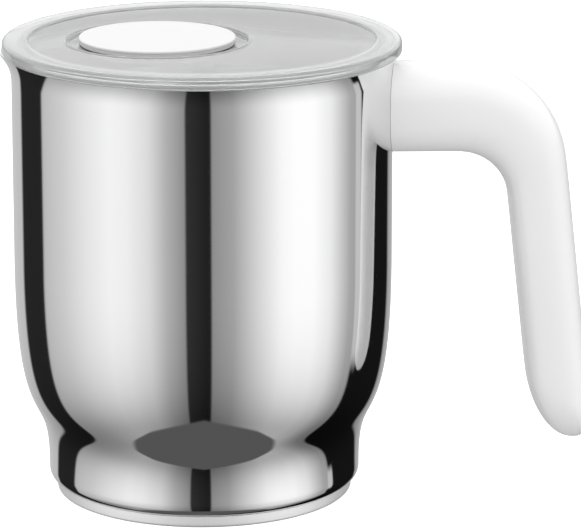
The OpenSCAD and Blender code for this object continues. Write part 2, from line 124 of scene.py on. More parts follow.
def spinPiece(name, outline, steps=128, centreX=0.0, smoothAngle=35):
    # a closed outline turned once round a vertical axis
    piece = drawOutline(name, list(outline) + [outline[0]])
    bpy.ops.mesh.select_all(action="SELECT")
    bpy.ops.mesh.remove_doubles(threshold=0.002 * mm)
    bpy.ops.mesh.spin(steps=steps, angle=2 * math.pi, center=(0, 0, 0), axis=(0, 0, 1))
    bpy.ops.mesh.select_all(action="SELECT")
    bpy.ops.mesh.remove_doubles(threshold=0.004 * mm)
    bpy.ops.mesh.dissolve_degenerate(threshold=0.001 * mm)
    if centreX:
        bpy.ops.transform.translate(value=(centreX * mm, 0, 0))
    bpy.ops.mesh.select_all(action="SELECT")
    bpy.ops.mesh.normals_make_consistent(inside=False)
    bpy.ops.object.mode_set(mode="OBJECT")
    bpy.ops.object.shade_smooth_by_angle(angle=math.radians(smoothAngle))
    return piece


def applyModifier(piece, kind, **settings):
    makeActive(piece)
    modifier = piece.modifiers.new(kind.title(), kind)
    for key, value in settings.items():
        setattr(modifier, key, value)
    bpy.ops.object.modifier_apply(modifier=modifier.name)


def cutWith(piece, tool, operation="DIFFERENCE"):
    applyModifier(piece, "BOOLEAN", operation=operation, object=tool, solver="EXACT")
    bpy.data.objects.remove(tool)
    makeActive(piece)
    bpy.ops.object.mode_set(mode="EDIT")
    bpy.ops.mesh.select_all(action="SELECT")
    bpy.ops.mesh.remove_doubles(threshold=0.002 * mm)
    bpy.ops.object.mode_set(mode="OBJECT")
    bpy.ops.object.shade_smooth_by_angle(angle=math.radians(35))


def hand(piece, body, material, slot, *nodes):
    # gives a finished piece its material, its body and the CAD nodes it stands for
    piece.data.materials.clear()
    piece.data.materials.append(material)
    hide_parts(*nodes)
    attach(piece, body)
    print("made", piece.name, len(piece.data.polygons), "faces")


# the materials

def newMaterial(name):
    material = bpy.data.materials.new(name)
    material.use_nodes = True
    return material, material.node_tree.nodes["Principled BSDF"]


def addNode(owner, kind, settings=None, values=None, links=None):
    # settings are the node's own, values go to its inputs, links are (from node, output, own input)
    node = owner.node_tree.nodes.new(kind)
    for key, value in (settings or {}).items():
        setattr(node, key, value)
    for key, value in (values or {}).items():
        node.inputs[key].default_value = value
    for source, output, own in links or []:
        owner.node_tree.links.new(source.outputs[output], node.inputs[own])
    return node


def setShader(shader, **values):
    names = {"colour": "Base Color", "metallic": "Metallic", "roughness": "Roughness", "ior": "IOR",
             "clear": "Transmission Weight"}
    for key, value in values.items():
        shader.inputs[names[key]].default_value = value


def finishSurface(material, shader, pattern, depth, smoothest, roughest):
    # one noise sets both the gloss and the relief
    rough = addNode(material, "ShaderNodeMapRange", values={"To Min": smoothest, "To Max": roughest},
                    links=[(pattern, 0, "Value")])
    bump = addNode(material, "ShaderNodeBump", values={"Strength": 1.0, "Distance": depth * mm},
                   links=[(pattern, 0, "Height")])
    material.node_tree.links.new(rough.outputs["Result"], shader.inputs["Roughness"])
    material.node_tree.links.new(bump.outputs["Normal"], shader.inputs["Normal"])


def turnedMarks(material, shader, spacing, depth, smoothest, roughest):
    # rings left by turning or polishing: noise that changes only with height and radius
    spot = addNode(material, "ShaderNodeTexCoord")
    apart = addNode(material, "ShaderNodeSeparateXYZ", links=[(spot, "Object", "Vector")])
    flat = addNode(material, "ShaderNodeVectorMath", {"operation": "MULTIPLY"}, {1: (1, 1, 0)},
                   [(spot, "Object", 0)])
    radius = addNode(material, "ShaderNodeVectorMath", {"operation": "LENGTH"}, links=[(flat, "Vector", 0)])
    along = addNode(material, "ShaderNodeCombineXYZ", links=[(radius, "Value", "X"), (apart, "Z", "Y")])
    marks = addNode(material, "ShaderNodeTexNoise", {"noise_dimensions": "2D"},
                    {"Scale": 1 / (spacing * mm), "Detail": 3.0, "Roughness": 0.6},
                    [(along, "Vector", "Vector")])
    finishSurface(material, shader, marks, depth, smoothest, roughest)


def mouldedSkin(material, shader, grain, depth, smoothest, roughest):
    # the fine grain or orange peel of a moulded, drawn or plated part
    spot = addNode(material, "ShaderNodeTexCoord")
    skin = addNode(material, "ShaderNodeTexNoise", values={"Scale": 1 / (grain * mm), "Detail": 3.0},
                   links=[(spot, "Object", "Vector")])
    finishSurface(material, shader, skin, depth, smoothest, roughest)


def polishedSteel():
    # stainless steel, mirror polished after deep drawing: sharp reflections with a trace of the polishing rings
    material, shader = newMaterial("stainlessMirrorPolished")
    setShader(shader, colour=linear("#e4e4e5"), metallic=1.0)
    # polishing lines lie a few hundredths of a millimetre apart: drawn 0.9 mm apart, or they would not show
    turnedMarks(material, shader, spacing=0.9, depth=0.00002, smoothest=0.03, roughest=0.06)
    return material


def satinSteel():
    # magnetic stainless steel, turned and left satin: broad soft highlights crossed by fine rings
    material, shader = newMaterial("stainlessTurnedSatin")
    setShader(shader, colour=linear("#fafafa"), metallic=1.0)
    # turning rings about 0.1 mm apart are too fine to show: drawn 0.3 mm apart
    turnedMarks(material, shader, spacing=0.3, depth=0.012, smoothest=0.5, roughest=0.75)
    return material


def drawnWire():
    # stainless spring wire, drawn: even and fairly bright
    material, shader = newMaterial("stainlessDrawnWire")
    setShader(shader, colour=linear("#cfcfd1"), metallic=1.0)
    # draw marks under 0.05 mm are too fine to show: drawn 0.6 mm wide
    mouldedSkin(material, shader, grain=0.6, depth=0.001, smoothest=0.14, roughest=0.24)
    return material


def pressedAluminium():
    # pressed aluminium, plain: pale and dull
    material, shader = newMaterial("aluminiumPressed")
    setShader(shader, colour=linear("#d5d6d8"), metallic=1.0)
    # the grain, 0.1 to 0.2 mm, is too fine to show: drawn 0.5 mm wide
    mouldedSkin(material, shader, grain=0.5, depth=0.003, smoothest=0.32, roughest=0.45)
    return material


def nickelPlate():
    # nickel plate on the magnets: warm grey, bright
    material, shader = newMaterial("nickelPlated")
    setShader(shader, colour=linear("#c9c4ba"), metallic=1.0)
    # plating grain under 0.05 mm is too fine to show: drawn 0.8 mm wide
    mouldedSkin(material, shader, grain=0.8, depth=0.001, smoothest=0.15, roughest=0.22)
    return material


def whiteAbs():
    # ABS, injection moulded in a polished tool: white with a soft, wide gloss
    material, shader = newMaterial("absGlossWhite")
    setShader(shader, colour=linear("#f9f9f9"), ior=1.52)
    # the orange peel of a polished tool is 1 to 2 mm wide, and drawn so
    mouldedSkin(material, shader, grain=1.6, depth=0.0012, smoothest=0.2, roughest=0.26)
    return material


def whiteCap():
    # ABS with a satin top: white and nearly even
    material, shader = newMaterial("absSatinWhite")
    setShader(shader, colour=linear("#e2e2e2"), ior=1.5)
    # etching of about 0.1 mm is too fine to show: drawn 0.7 mm wide
    mouldedSkin(material, shader, grain=0.7, depth=0.0015, smoothest=0.34, roughest=0.42)
    return material


def clearSan():
    # SAN, injection moulded: glass clear; the rim and the bead round the cap carry a painted highlight, drawn
    # whiter and less clear than the rest
    material, shader = newMaterial("sanClear")
    setShader(shader, ior=1.54)
    # flow waves in a clear moulding are about 3 mm wide, and drawn so
    mouldedSkin(material, shader, grain=3.0, depth=0.0006, smoothest=0.0, roughest=0.02)
    # where the painted highlight on the rim and the bead round the cap lies, in millimetres
    paintedHighlight = {"rimFrom": 47.6, "rimTo": 48.4, "beadCentre": -12.3, "bead": 25.55, "beadHalf": 0.45}
    spot = addNode(material, "ShaderNodeTexCoord")
    flat = addNode(material, "ShaderNodeVectorMath", {"operation": "MULTIPLY"}, {1: (1, 1, 0)},
                   [(spot, "Object", 0)])
    radius = addNode(material, "ShaderNodeVectorMath", {"operation": "LENGTH"}, links=[(flat, "Vector", 0)])
    rim = addNode(material, "ShaderNodeMapRange", {"interpolation_type": "SMOOTHSTEP"},
                  {"From Min": paintedHighlight["rimFrom"] * mm, "From Max": paintedHighlight["rimTo"] * mm},
                  [(radius, "Value", "Value")])
    aside = addNode(material, "ShaderNodeVectorMath", values={1: (-paintedHighlight["beadCentre"] * mm, 0, 0)},
                    links=[(flat, "Vector", 0)])
    around = addNode(material, "ShaderNodeVectorMath", {"operation": "LENGTH"}, links=[(aside, "Vector", 0)])
    bead = addNode(material, "ShaderNodeMath", {"operation": "COMPARE"},
                   {1: paintedHighlight["bead"] * mm, 2: paintedHighlight["beadHalf"] * mm}, [(around, "Value", 0)])
    # the painted highlight's share: one on the rim or the bead, nought elsewhere
    highlightShare = addNode(material, "ShaderNodeMath", {"operation": "MAXIMUM"},
                    links=[(rim, "Result", 0), (bead, 0, 1)])
    # painted highlight: the lid is less clear and whiter where the rim and the bead lie
    clear = addNode(material, "ShaderNodeMapRange", values={"To Min": 0.87, "To Max": 0.7},
                    links=[(highlightShare, 0, "Value")])
    colour = addNode(material, "ShaderNodeMix", {"data_type": "RGBA"},
                     {"A": linear("#e9eaea"), "B": linear("#f8f9f9")}, [(highlightShare, 0, "Factor")])
    material.node_tree.links.new(clear.outputs["Result"], shader.inputs["Transmission Weight"])
    material.node_tree.links.new(colour.outputs["Result"], shader.inputs["Base Color"])
    return material


def frostedPp():
    # polypropylene, natural: milky
    material, shader = newMaterial("ppNatural")
    setShader(shader, colour=linear("#eceeee"), clear=0.35, ior=1.49)
    # etching of about 0.1 mm is too fine to show: drawn 0.8 mm wide
    mouldedSkin(material, shader, grain=0.8, depth=0.001, smoothest=0.4, roughest=0.5)
    return material


def silicone():
    # silicone rubber, moulded: cloudy and soft
    material, shader = newMaterial("siliconeCloudy")
    setShader(shader, colour=linear("#e6e9ea"), clear=0.45, ior=1.41)
    # the grain, about 0.1 mm, is too fine to show: drawn 0.6 mm wide
    mouldedSkin(material, shader, grain=0.6, depth=0.001, smoothest=0.4, roughest=0.55)
    return material


def darkNylon():
    # glass-filled nylon, moulded matt: charcoal with a fine grain
    material, shader = newMaterial("nylonCharcoal")
    setShader(shader, colour=linear("#2a2b2d"), ior=1.53)
    # etched grain of about 0.1 mm is too fine to show: drawn 0.35 mm wide
    mouldedSkin(material, shader, grain=0.35, depth=0.006, smoothest=0.42, roughest=0.58)
    return material


def slidingPlastic():
    # acetal, turned: ivory and waxy
    material, shader = newMaterial("acetalIvory")
    setShader(shader, colour=linear("#ddd2b4"), ior=1.48)
    # turning marks of about 0.1 mm are too fine to show: drawn 0.5 mm wide
    mouldedSkin(material, shader, grain=0.5, depth=0.001, smoothest=0.32, roughest=0.42)
    return material


def greyRubber():
    # EPDM, moulded: light grey and dull
    material, shader = newMaterial("epdmGrey")
    setShader(shader, colour=linear("#c4c5c6"), ior=1.5)
    # the grain, about 0.1 mm, is too fine to show: drawn 0.4 mm wide
    mouldedSkin(material, shader, grain=0.4, depth=0.004, smoothest=0.6, roughest=0.75)
    return material


finish = {
    "polished": polishedSteel(),
    "satin": satinSteel(),
    "wire": drawnWire(),
    "aluminium": pressedAluminium(),
    "nickel": nickelPlate(),
    "white": whiteAbs(),
    "capWhite": whiteCap(),
    "clear": clearSan(),
    "frosted": frostedPp(),
    "silicone": silicone(),
    "dark": darkNylon(),
    "ivory": slidingPlastic(),
    "rubber": greyRubber(),
}
print("materials made")

# the jug, in millimetres

jug = {
    "radius": 52.5,
    "rim": 124.3,
    "wall": 0.8,
    "shoulder": 67.0,
    "waist": 43.5,
    "waistHeight": 7.1,
    "floor": 3.2,
    "corner": 2.9,
    "waistPull": 0.43,
    "shoulderPull": 0.9,
    "flareHeight": 5.5,
    "flareOut": 0.7,
    "spoutPulls": [(2 + 3 * i, 0.36) for i in range(7)],   # half angle and distance of each pull
    "spoutHeight": 7.5,
    "spoutBand": 0.6,       # what lies this near the rim is pulled
    "curveSteps": 72,
    "straightRings": (75, 85, 95, 105, 112, 114, 115.5, 117),
    "rimRise": (0.102, 0.289),   # how far the rolled edge stands past the cut, out and up
}


def rise(t):
    # the shoulder: a cubic curve with both ends upright
    low, high = (jug["waist"], jug["waistHeight"]), (jug["radius"], jug["shoulder"])
    span = high[1] - low[1]
    a, b = (1 - t) ** 2 * (1 + 2 * t), t * t * (3 - 2 * t)
    lift = 3 * t * (1 - t) * span * ((1 - t) * jug["waistPull"] - t * jug["shoulderPull"])
    return (a * low[0] + b * high[0], a * low[1] + b * high[1] + lift)


def flareLine(steps=20):
    height, out = jug["flareHeight"], jug["flareOut"]
    radius = (height ** 2 + out ** 2) / (2 * out)
    lean = math.degrees(math.asin(height / radius))
    return turned((jug["radius"] + radius, jug["rim"] - height), radius, 180, 180 - lean, steps)


def offsetLine(line, distance):
    # the same line moved to its left
    moved = []
    for i, point in enumerate(line):
        along = (Vector(line[min(i + 1, len(line) - 1)]) - Vector(line[max(i - 1, 0)])).normalized()
        moved.append((point[0] - along.y * distance, point[1] + along.x * distance))
    return moved


def jugSide():
    corner = turned((jug["waist"] - jug["corner"], jug["floor"] + jug["corner"]), jug["corner"], -90, 0, 10)
    shoulder = [rise(i / jug["curveSteps"]) for i in range(jug["curveSteps"] + 1)]
    straight = [(jug["radius"], z) for z in jug["straightRings"]]
    return corner[:-1] + shoulder + straight + flareLine()


def selectWhere(piece, test):
    # in edit mode: selects the vertices whose place, in millimetres, passes the test
    bpy.ops.mesh.select_all(action="DESELECT")
    bpy.ops.object.mode_set(mode="OBJECT")
    for vertex in piece.data.vertices:
        vertex.select = bool(test(*(vertex.co / mm)))
    bpy.ops.object.mode_set(mode="EDIT")


def addSpout(piece):
    # the rim is drawn out at -X, and what lies near follows softly
    makeActive(piece)
    bpy.ops.object.mode_set(mode="EDIT")
    bpy.ops.mesh.select_mode(type="VERT")
    for half, out in jug["spoutPulls"]:
        selectWhere(piece, lambda x, y, z: z > jug["rim"] - jug["spoutBand"] and x < 0
                    and abs(math.degrees(math.atan2(y, -x))) < half)
        bpy.ops.transform.translate(value=(-out * mm, 0, 0), use_proportional_edit=True,
                                    proportional_edit_falloff="SHARP",
                                    proportional_size=jug["spoutHeight"] * mm)
    bpy.ops.object.mode_set(mode="OBJECT")


side = jugSide()
inside = offsetLine(side, jug["wall"])
rimTop = Vector(side[-1])
rimIn = Vector(inside[-1])
rimRound = [tuple((rimTop + rimIn) / 2 + (rimTop - rimIn) / 2 * math.cos(a) + Vector(jug["rimRise"]) * math.sin(a))
            for a in [math.pi * k / 8 for k in range(1, 8)]]
steelShell = spinPiece(
    "steelShell",
    [(0, jug["floor"])] + side + rimRound + inside[::-1] + [(0, jug["floor"] + jug["wall"])],
    steps=288)
addSpout(steelShell)
hand(steelShell, "jug", finish["polished"], "polished_steel", "jug_shell")

foot = {"radius": 41.3, "height": 3.2, "wall": 0.8, "edge": 0.8}
footRing = spinPiece("footRing", roundOff([
    (0, 0),
    (foot["radius"], 0, foot["edge"]),
    (foot["radius"], foot["height"], 0.2),
    (foot["radius"] - foot["wall"], foot["height"], 0.15),
    (foot["radius"] - foot["wall"], foot["wall"]),
    (0, foot["wall"]),
]), steps=288)
hand(footRing, "jug", finish["satin"], "satin_steel", "base_cap")

# the handle

handle = {
    "armTop": 120.9,
    "armHeight": 24.8,
    "armWidth": 22.0,
    "gripThick": 17.3,
    "gripWidth": 20.0,
    "fingerRoom": 30.6,
    "lean": 6.3,
    "innerBend": 14.0,
    "outerBend": 30.0,
    "tip": 13.3,
    "tipInner": 22.0,
    "tipOuter": 8.0,
    "tipShare": 0.71,
    "profile": 0.61,        # squareness of the section's corners
    "steps": 10,            # faces in each of its corners
    "starts": (45.0, 50.0, 59.0, 65.0),   # the arm's first sections; the wall cuts the end off
    "bendSteps": 12,
    "gripShares": (0.2, 0.4, 0.6, 0.8),
    "tipTurns": (0, 10, 20, 30, 40, 50, 60, 69, 77, 83),
    "tipInset": 0.45,
    "tipRise": (0.45, 0.1),   # height of each inset of the tip, as a share of its width
    "gap": 0.05,            # to the steel
    "wallLow": 60.0,        # the tool that cuts the arm's end to the wall
    "wallHigh": 130.0,
    "screws": (61.0, 72.0),
    "recess": 3.8,          # radius of the screw recesses
    "recessLow": 90.0,
    "recessMouth": 96.0,
    "recessChamfer": 0.5,
    "recessHigh": 100.5,
    "softEdge": 0.18,
}


def handleStations():
    # pairs of points on the finger side and the outside, with the width there
    h = handle
    lean = math.radians(h["lean"])
    down = Vector((math.sin(lean), -math.cos(lean)))
    outward = Vector((math.cos(lean), math.sin(lean)))
    low = h["armTop"] - h["armHeight"]
    innerCorner = Vector((jug["radius"] + h["fingerRoom"], low))
    back = h["gripThick"] / math.cos(lean) - h["armHeight"] * math.tan(lean)
    outerCorner = Vector((innerCorner.x + back, h["armTop"]))
    share = math.tan((math.pi / 2 - lean) / 2)
    innerBend = innerCorner - Vector((h["innerBend"] * share, h["innerBend"]))
    outerBend = outerCorner - Vector((h["outerBend"] * share, h["outerBend"]))
    reach = (low - h["tip"] + h["tipShare"] * h["gripThick"] * math.sin(lean)) / math.cos(lean)
    stations = [(Vector((x, low)), Vector((x, h["armTop"])), h["armWidth"]) for x in h["starts"]]
    for i in range(h["bendSteps"] + 1):
        angle = (math.pi / 2 - lean) * i / h["bendSteps"]
        turn = Vector((math.sin(angle), math.cos(angle)))
        width = h["armWidth"] + (h["gripWidth"] - h["armWidth"]) * i / h["bendSteps"]
        stations.append((innerBend + turn * h["innerBend"], outerBend + turn * h["outerBend"], width))
    innerFrom = (stations[-1][0] - innerCorner).dot(down)
    outerFrom = (stations[-1][1] - innerCorner).dot(down)
    for k in h["gripShares"]:
        innerAt = innerFrom + (reach - h["tipInner"] - innerFrom) * k
        outerAt = outerFrom + (reach - h["tipOuter"] - outerFrom) * k
        stations.append((innerCorner + down * innerAt, innerCorner + outward * h["gripThick"] + down * outerAt,
                         h["gripWidth"]))
    for degrees in h["tipTurns"]:
        v = math.radians(degrees)
        stations.append((
            innerCorner + down * (reach - h["tipInner"] * (1 - math.sin(v)))
            + outward * h["gripThick"] * h["tipShare"] * (1 - math.cos(v)),
            innerCorner + down * (reach - h["tipOuter"] * (1 - math.sin(v)))
            + outward * h["gripThick"] * (1 - (1 - h["tipShare"]) * (1 - math.cos(v))),
            h["gripWidth"] * math.cos(v)))
    return stations


def addSection(station, keepFace):
    # one rounded section: a plane whose corners are bevelled until they meet
    inner, outer, width = station
    up = (outer - inner).normalized()
    turn = Matrix(((0, up.x, up.y), (1, 0, 0), (0, up.y, -up.x)))
    middle = (inner + outer) / 2
    height = (outer - inner).length
    bpy.ops.mesh.primitive_plane_add(size=height * mm, location=(middle.x * mm, 0, middle.y * mm),
                                     rotation=turn.to_euler())
    bpy.ops.mesh.bevel(offset_type="PERCENT", offset_pct=50, segments=handle["steps"],
                       profile=handle["profile"], affect="VERTICES")
    bpy.ops.mesh.remove_doubles(threshold=0.0005 * mm)
    bpy.ops.transform.resize(value=(1, width / height, 1), center_override=(middle.x * mm, 0, middle.y * mm))
    if not keepFace:
        bpy.ops.mesh.delete(type="ONLY_FACE")


def makeHandle():
    stations = handleStations()
    clearSelection()
    bpy.ops.mesh.primitive_plane_add(size=mm)
    piece = bpy.context.object
    piece.name = piece.data.name = "handleMoulding"
    bpy.ops.object.mode_set(mode="EDIT")
    bpy.ops.mesh.select_mode(type="VERT")
    bpy.ops.mesh.delete(type="VERT")
    for i, station in enumerate(stations):
        addSection(station, i == 0)
        if i:
            bpy.ops.mesh.select_all(action="DESELECT")
            bpy.ops.mesh.select_non_manifold(extend=False, use_wire=True, use_boundary=True,
                                             use_multi_face=False, use_non_contiguous=False, use_verts=False)
            bpy.ops.mesh.bridge_edge_loops()
    bpy.ops.mesh.select_all(action="DESELECT")
    bpy.ops.mesh.select_non_manifold(extend=False, use_wire=True, use_boundary=True,
                                     use_multi_face=False, use_non_contiguous=False, use_verts=False)
    bpy.ops.mesh.edge_face_add()
    for share in handle["tipRise"]:
        bpy.ops.mesh.inset(thickness=handle["tipInset"] * mm, depth=handle["tipInset"] * share * mm)
    bpy.ops.mesh.select_all(action="SELECT")
    bpy.ops.mesh.normals_make_consistent(inside=False)
    bpy.ops.object.mode_set(mode="OBJECT")
    return piece


handleMoulding = makeHandle()
bpy.ops.object.shade_smooth_by_angle(angle=math.radians(40))
applyModifier(handleMoulding, "SUBSURF", levels=1, render_levels=1)
wallLine = offsetLine([p for p in side if p[1] > handle["wallLow"]], -handle["gap"])
wallTool = [(0, handle["wallLow"])] + wallLine + [(wallLine[-1][0], handle["wallHigh"]), (0, handle["wallHigh"])]
cutWith(handleMoulding, spinPiece("wallTool", wallTool, steps=288))
for x in handle["screws"]:
    mouth = handle["recess"] + handle["recessChamfer"]
    cutWith(handleMoulding, spinPiece("recessTool", [
        (0, handle["recessLow"]), (mouth, handle["recessLow"]), (mouth, handle["recessMouth"]),
        (handle["recess"], handle["recessMouth"] + handle["recessChamfer"]),
        (handle["recess"], handle["recessHigh"]), (0, handle["recessHigh"])], steps=64, centreX=x))
applyModifier(handleMoulding, "BEVEL", limit_method="ANGLE", angle_limit=math.radians(38),
              width=handle["softEdge"] * mm, segments=3, use_clamp_overlap=True)
bpy.ops.object.shade_smooth_by_angle(angle=math.radians(40))
hand(handleMoulding, "jug", finish["white"], "white_plastic", "handle_shell")

plug = {"radius": 3.75, "low": 96.5, "high": 98.1, "dimple": 0.25, "dimpleFrom": 1.2, "dimpleTo": 1.7}
for number, x in enumerate(handle["screws"]):
    screwPlug = spinPiece("screwPlug" + str(number + 1), roundOff([
        (0, plug["low"] + plug["dimple"]),
        (plug["dimpleFrom"], plug["low"] + plug["dimple"], 0.4),
        (plug["dimpleTo"], plug["low"], 0.4),
        (plug["radius"], plug["low"], 0.35),
        (plug["radius"], plug["high"], 0.15),
        (0, plug["high"]),
    ]), steps=64, centreX=x)
    hand(screwPlug, "jug", finish["white"], "white_plastic", "screw_plugs")

# the lid

lid = {
    "radius": 55.0,
    "low": 124.4,
    "high": 128.0,
    "edge": 1.2,
    "lowEdge": 0.8,
    "rimInside": 47.9,
    "panelLow": 125.4,
    "panelHigh": 127.4,
    "skirtInside": 48.4,
    "skirtOutside": 50.4,
    "skirtLow": 117.5,
    "groove": 49.4,
    "grooveLow": 119.0,
    "grooveHigh": 121.0,
    "capShift": -12.3,
    "hole": 19.0,
    "collar": 21.0,
    "collarLow": 121.8,
    "moat": 25.0,
    "moatFloor": 126.5,
    "moatLip": 0.7,         # the moat's outer wall leans out to this past its floor
    "bead": 0.25,           # height of the bead round the moat
    "beadFrom": 25.2,
    "beadTo": 25.9,
    "holeLow": 19.9,        # the hole is wider below, and narrows to its own radius
    "holeLowTop": 121.6,
    "holeTop": 122.4,
    "toolLow": 110.0,
    "toolHigh": 135.0,
}
lidMoulding = spinPiece("lidMoulding", roundOff([
    (0, lid["panelLow"]),
    (lid["skirtInside"], lid["panelLow"], 0.8),
    (lid["skirtInside"], lid["skirtLow"], 0.7),
    (lid["skirtOutside"], lid["skirtLow"], 0.7),
    (lid["skirtOutside"], lid["grooveLow"], 0.15),
    (lid["groove"], lid["grooveLow"], 0.1),
    (lid["groove"], lid["grooveHigh"], 0.1),
    (lid["skirtOutside"], lid["grooveHigh"], 0.15),
    (lid["skirtOutside"], lid["low"], 0.5),
    (lid["radius"], lid["low"], lid["lowEdge"]),
    (lid["radius"], lid["high"], lid["edge"]),
    (lid["rimInside"], lid["high"], 0.2),
    (lid["rimInside"], lid["panelHigh"], 0.15),
    (0, lid["panelHigh"]),
], steps=7), steps=256)
collarHigh = lid["panelLow"] + 0.5
cutWith(lidMoulding, spinPiece("collarTool", roundOff([
    (0, lid["collarLow"]), (lid["collar"], lid["collarLow"], 0.7), (lid["collar"], collarHigh), (0, collarHigh)]),
    steps=192, centreX=lid["capShift"]), operation="UNION")
cutWith(lidMoulding, spinPiece("moatTool", roundOff([
    (0, lid["toolLow"]),
    (lid["holeLow"], lid["toolLow"]),
    (lid["holeLow"], lid["holeLowTop"]),
    (lid["hole"], lid["holeTop"]),
    (lid["hole"], lid["moatFloor"], 0.35),
    (lid["moat"], lid["moatFloor"], 0.55),
    (lid["moat"], lid["panelHigh"] - 0.05, 0.3),
    (lid["moat"] + lid["moatLip"], lid["panelHigh"] + 0.3),
    (lid["moat"] + 2, lid["toolHigh"]),
    (0, lid["toolHigh"]),
]), steps=192, centreX=lid["capShift"]))
cutWith(lidMoulding, spinPiece("beadTool", roundOff([
    (lid["beadFrom"], lid["panelHigh"] - 0.5),
    (lid["beadTo"], lid["panelHigh"] - 0.5),
    (lid["beadTo"], lid["panelHigh"] + lid["bead"], 0.3),
    (lid["beadFrom"], lid["panelHigh"] + lid["bead"], 0.3),
]), steps=192, centreX=lid["capShift"]), operation="UNION")
hand(lidMoulding, "lid", finish["clear"], "clear_plastic", "lid_panel")

lidRubber = {"inside": 49.4, "outside": 50.4, "lip": 51.4, "low": 119.0, "high": 121.0}
lidGasket = spinPiece("lidGasket", roundOff([
    (lidRubber["inside"], lidRubber["low"], 0.1),
    (lidRubber["outside"], lidRubber["low"], 0.2),
    (lidRubber["lip"], lidRubber["high"] - 0.8, 0.15),
    (lidRubber["lip"], lidRubber["high"] - 0.3, 0.15),
    (lidRubber["outside"], lidRubber["high"], 0.3),
    (lidRubber["inside"], lidRubber["high"], 0.1),
]), steps=192)
hand(lidGasket, "lid", finish["silicone"], "clear_silicone", "lid_seal")

# the cap

cap = {"radius": 21.6, "low": 126.6, "high": 128.4, "neck": 21.35, "brim": 127.65, "dish": 0.12}
capDisc = spinPiece("capDisc", roundOff([
    (0, cap["low"]),
    (cap["neck"], cap["low"], 0.2),
    (cap["neck"], cap["brim"], 0.1),
    (cap["radius"], cap["brim"], 0.12),
    (cap["radius"], cap["high"], 0.35),
    (cap["radius"] - 2.2, cap["high"], 1.2),
    (cap["radius"] - 6, cap["high"] - cap["dish"], 2.0),
    (0, cap["high"] - cap["dish"]),
]), steps=256, centreX=lid["capShift"])
hand(capDisc, "cap", finish["capWhite"], "white_cap", "cap_disc")

stopper = {"radius": 18.6, "inside": 15.6, "low": 121.8, "high": 126.6, "floor": 123.0,
           "ring": 17.9, "ringHeight": 124.2, "ringRadius": 0.9, "grooveHalf": 1.05, "groove": 16.95}
capStopper = spinPiece("capStopper", roundOff([
    (0, stopper["low"] + 0.1),
    (stopper["inside"] - 1, stopper["low"], 0.6),
    (stopper["radius"], stopper["low"], 0.6),
    (stopper["radius"], stopper["ringHeight"] - stopper["grooveHalf"], 0.15),
    (stopper["groove"], stopper["ringHeight"] - stopper["grooveHalf"], 0.3),
    (stopper["groove"], stopper["ringHeight"] + stopper["grooveHalf"], 0.3),
    (stopper["radius"], stopper["ringHeight"] + stopper["grooveHalf"], 0.15),
    (stopper["radius"], stopper["high"]),
    (stopper["inside"], stopper["high"]),
    (stopper["inside"], stopper["floor"], 0.8),
    (0, stopper["floor"]),
]), steps=160, centreX=lid["capShift"])
hand(capStopper, "cap", finish["frosted"], "frosted_plastic", "cap_plug")
ringOutline = turned((stopper["ring"], stopper["ringHeight"]), stopper["ringRadius"], 0, 337.5, 15)
capRing = spinPiece("capRing", ringOutline, steps=160, centreX=lid["capShift"], smoothAngle=60)
hand(capRing, "cap", finish["silicone"], "clear_silicone", "cap_seal")

# the whisk

whisk = {
    "hub": 12.3,
    "hubFlange": 13.7,
    "hubLow": 6.6,
    "hubTop": 14.0,
    "flangeTop": 8.6,
    "bore": 4.3,
    "bell": 6.1,
    "bellTop": 19.4,
    "shaft": 3.0,
    "knob": 6.0,
    "knobCentre": 54.0,
    "sleeveHole": 3.1,
    "holeTop": 17.6,
    "neckTop": 47.5,
}
hubMoulding = spinPiece("hubMoulding", roundOff([
    (whisk["bore"], whisk["hubLow"]),
    (whisk["hubFlange"], whisk["hubLow"]),
    (whisk["hubFlange"], whisk["flangeTop"], 0.5),
    (whisk["hub"], whisk["flangeTop"], 0.4),
    (whisk["hub"], whisk["hubTop"], 0.8),
    (whisk["bore"], whisk["hubTop"]),
]), steps=128)
hand(hubMoulding, "whisk", finish["dark"], "dark_plastic", "whisk_hub")

knobRound = turned((0, whisk["knobCentre"]), whisk["knob"], -52, 90, 22)
stemMoulding = spinPiece("stemMoulding", roundOff([
    (whisk["sleeveHole"], whisk["hubTop"]),
    (whisk["bell"], whisk["hubTop"]),
    (whisk["bell"], whisk["bellTop"] - 2, 0.8),
    (whisk["shaft"] + 1, whisk["bellTop"], 1.2),
    (whisk["shaft"], whisk["bellTop"] + 2, 2.0),
    (whisk["shaft"], whisk["neckTop"], 2.0),
]) + knobRound + [(0, whisk["holeTop"]), (whisk["sleeveHole"], whisk["holeTop"])], steps=96, smoothAngle=50)
hand(stemMoulding, "whisk", finish["dark"], "dark_plastic", "whisk_stem")

